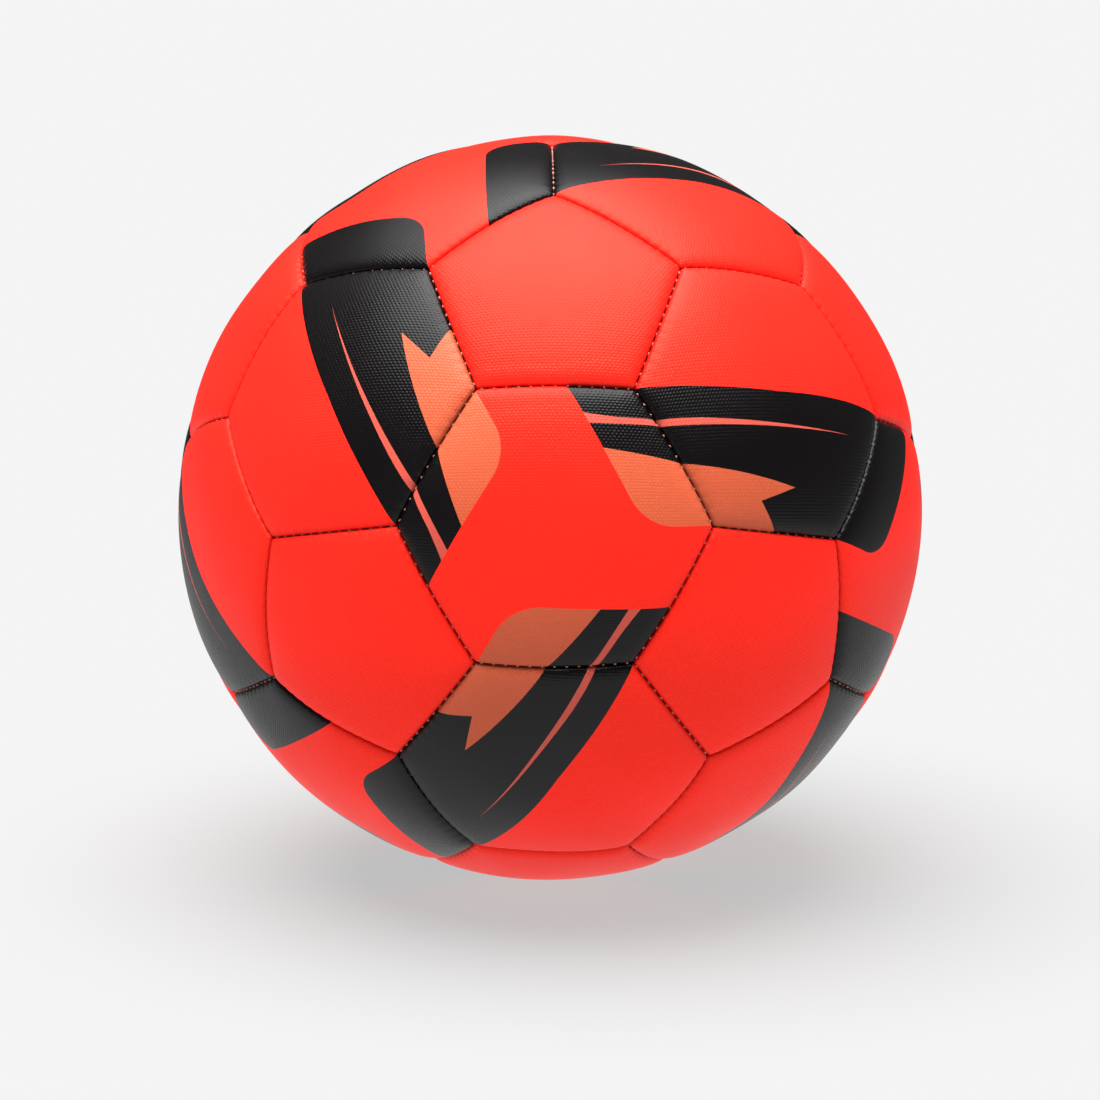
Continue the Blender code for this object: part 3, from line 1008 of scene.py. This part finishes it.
def studio_lamps():
    """A key from above, leaning to the left, and low fill from all sides."""
    soft_sun("key", KEY_STRENGTH, KEY_SPREAD, (0, -KEY_LEAN, 0))
    for number in range(FILL_COUNT):
        turned = (math.pi / 2 - FILL_ELEVATION, 0, math.tau * number / FILL_COUNT)
        soft_sun(f"fill_{number}", FILL_STRENGTH, FILL_SPREAD, turned)


def studio_floor():
    half = FLOOR_SIZE / 2
    corners = [(-half, -half), (half, -half), (half, half), (-half, half)]
    floor = new_object("floor", [(x, y, 0) for x, y in corners], [(0, 1, 2, 3)])
    floor.location.z = FLOOR_HEIGHT
    nodes = Nodes("floor_paper")
    nodes.shader.inputs["Base Color"].default_value = (FLOOR_COLOUR,) * 3 + (1,)
    nodes.shader.inputs["Roughness"].default_value = 1.0
    nodes.shader.inputs["Specular IOR Level"].default_value = 0.0
    nodes.shader.inputs["Emission Color"].default_value = (1, 1, 1, 1)
    nodes.shader.inputs["Emission Strength"].default_value = FLOOR_GLOW
    floor.data.materials.append(nodes.material)
    floor.visible_glossy = False
    floor.visible_shadow = False


def studio_camera():
    data = bpy.data.cameras.new("camera")
    data.lens = CAMERA_LENS
    data.sensor_width = SENSOR_WIDTH
    camera = bpy.data.objects.new("camera", data)
    bpy.context.scene.collection.objects.link(camera)
    flat = Vector((-math.sin(CAMERA_AZIMUTH), -math.cos(CAMERA_AZIMUTH), 0))
    back = flat * math.cos(CAMERA_ELEVATION) + UP * math.sin(CAMERA_ELEVATION)
    side = UP.cross(back).normalized()
    aim = Matrix.Rotation(-CAMERA_AIM_DOWN, 3, side) @ back
    axes = Matrix((side, aim.cross(side), aim)).transposed()
    axes = axes @ Matrix.Rotation(CAMERA_ROLL, 3, "Z")
    camera.matrix_world = Matrix.Translation(back * CAMERA_DISTANCE) @ axes.to_4x4()
    bpy.context.scene.camera = camera
    bpy.context.scene.view_settings.view_transform = "Standard"


# The scene

RED = cover_material("cover_red", RED_INK, 0.41, 0.22, RED_TINT)
BLACK = cover_material("ink_black", BLACK_INK, 0.24, 0.36, emboss=1.4)
CORAL = cover_material("ink_coral", CORAL_INK, 0.38, 0.25)
STRIPE = cover_material("ink_dull_red", STRIPE_INK, 0.38, 0.25)
BACKING = textile_material("backing_cloth", BACKING_COLOUR)
THREAD = thread_material()
VALVE_RUBBER = rubber_material("valve_rubber", VALVE_COLOUR, 0.5)
PLUG_RUBBER = rubber_material("plug_rubber", PLUG_COLOUR, 0.6)
BLADDER = rubber_material("bladder_rubber", BLADDER_COLOUR, 0.65)
PATCH = textile_material("patch_weave", PATCH_COLOUR)

layout = panel_frames()
centres = {kind: [axes.col[2] for k, axes in layout if k == kind] for kind, _ in layout}
first_pentagon = centres["pentagon"][0]
second_pentagon = neighbours(first_pentagon, centres["pentagon"], 1)[0]
seam_corner = (first_pentagon * 2 + second_pentagon).normalized()
hexagons = centres["start"] + centres["cap"] + centres["middle"]
first_hexagon = neighbours(seam_corner, hexagons, 1)[0]
pentagon_reach = RADIUS * math.tan(first_pentagon.angle(seam_corner))
hexagon_reach = RADIUS * math.tan(first_hexagon.angle(seam_corner))

INK_ORDER = (BLACK_SLOT, STRIPE_SLOT, CORAL_SLOT)
start_prints = three_ways(zip(INK_ORDER, (ARM_START, STRIPE_START, FLAME_START)))
middle_outlines = [rounded(line) for line in (ARM_MIDDLE, STRIPE_MIDDLE, FLAME_MIDDLE)]
middle_prints = list(zip(INK_ORDER, middle_outlines))
cap_kind = Kind(6, hexagon_reach, 30, three_ways([(BLACK_SLOT, ARM_CAP)]))
PANELS = {
    "pentagon": Panel(Kind(5, pentagon_reach, 90)),
    "start": Panel(Kind(6, hexagon_reach, 0, start_prints)),
    "middle": Panel(Kind(6, hexagon_reach, 0, middle_prints, MIDDLE_GRAIN)),
    "cap": Panel(cap_kind),
    "valve": Panel(cap_kind, VALVE_HOLE_RADIUS),
}


def nearest_frame(node):
    """The kind and frame of the panel that lies where a CAD node does."""
    low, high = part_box(node)
    place = (low + high).normalized()
    return max(layout, key=lambda entry: entry[1].col[2].dot(place))


for node in sorted(frame["nodes"]):
    if "_panel" not in node:
        continue
    kind, axes = nearest_frame(node)
    if node == "valve_hexagon_panel":
        kind = "valve"
    inks = [RED, BACKING] if kind == "pentagon" else [RED, BLACK, CORAL, STRIPE, BACKING]
    panel_object(node, PANELS[kind], axes, inks)

seams = all_seams(centres["pentagon"])
for node in sorted(frame["nodes"]):
    if node.startswith("seam_thread"):
        thread_object(node, seams, THREAD)

valve_body_piece(VALVE_RUBBER)
valve_plug_piece(PLUG_RUBBER)
for node, material in (("bladder", BLADDER), ("valve_patch", PATCH)):
    frame["nodes"][node].material_slots[0].material = material

studio_world()
studio_lamps()
studio_floor()
studio_camera()
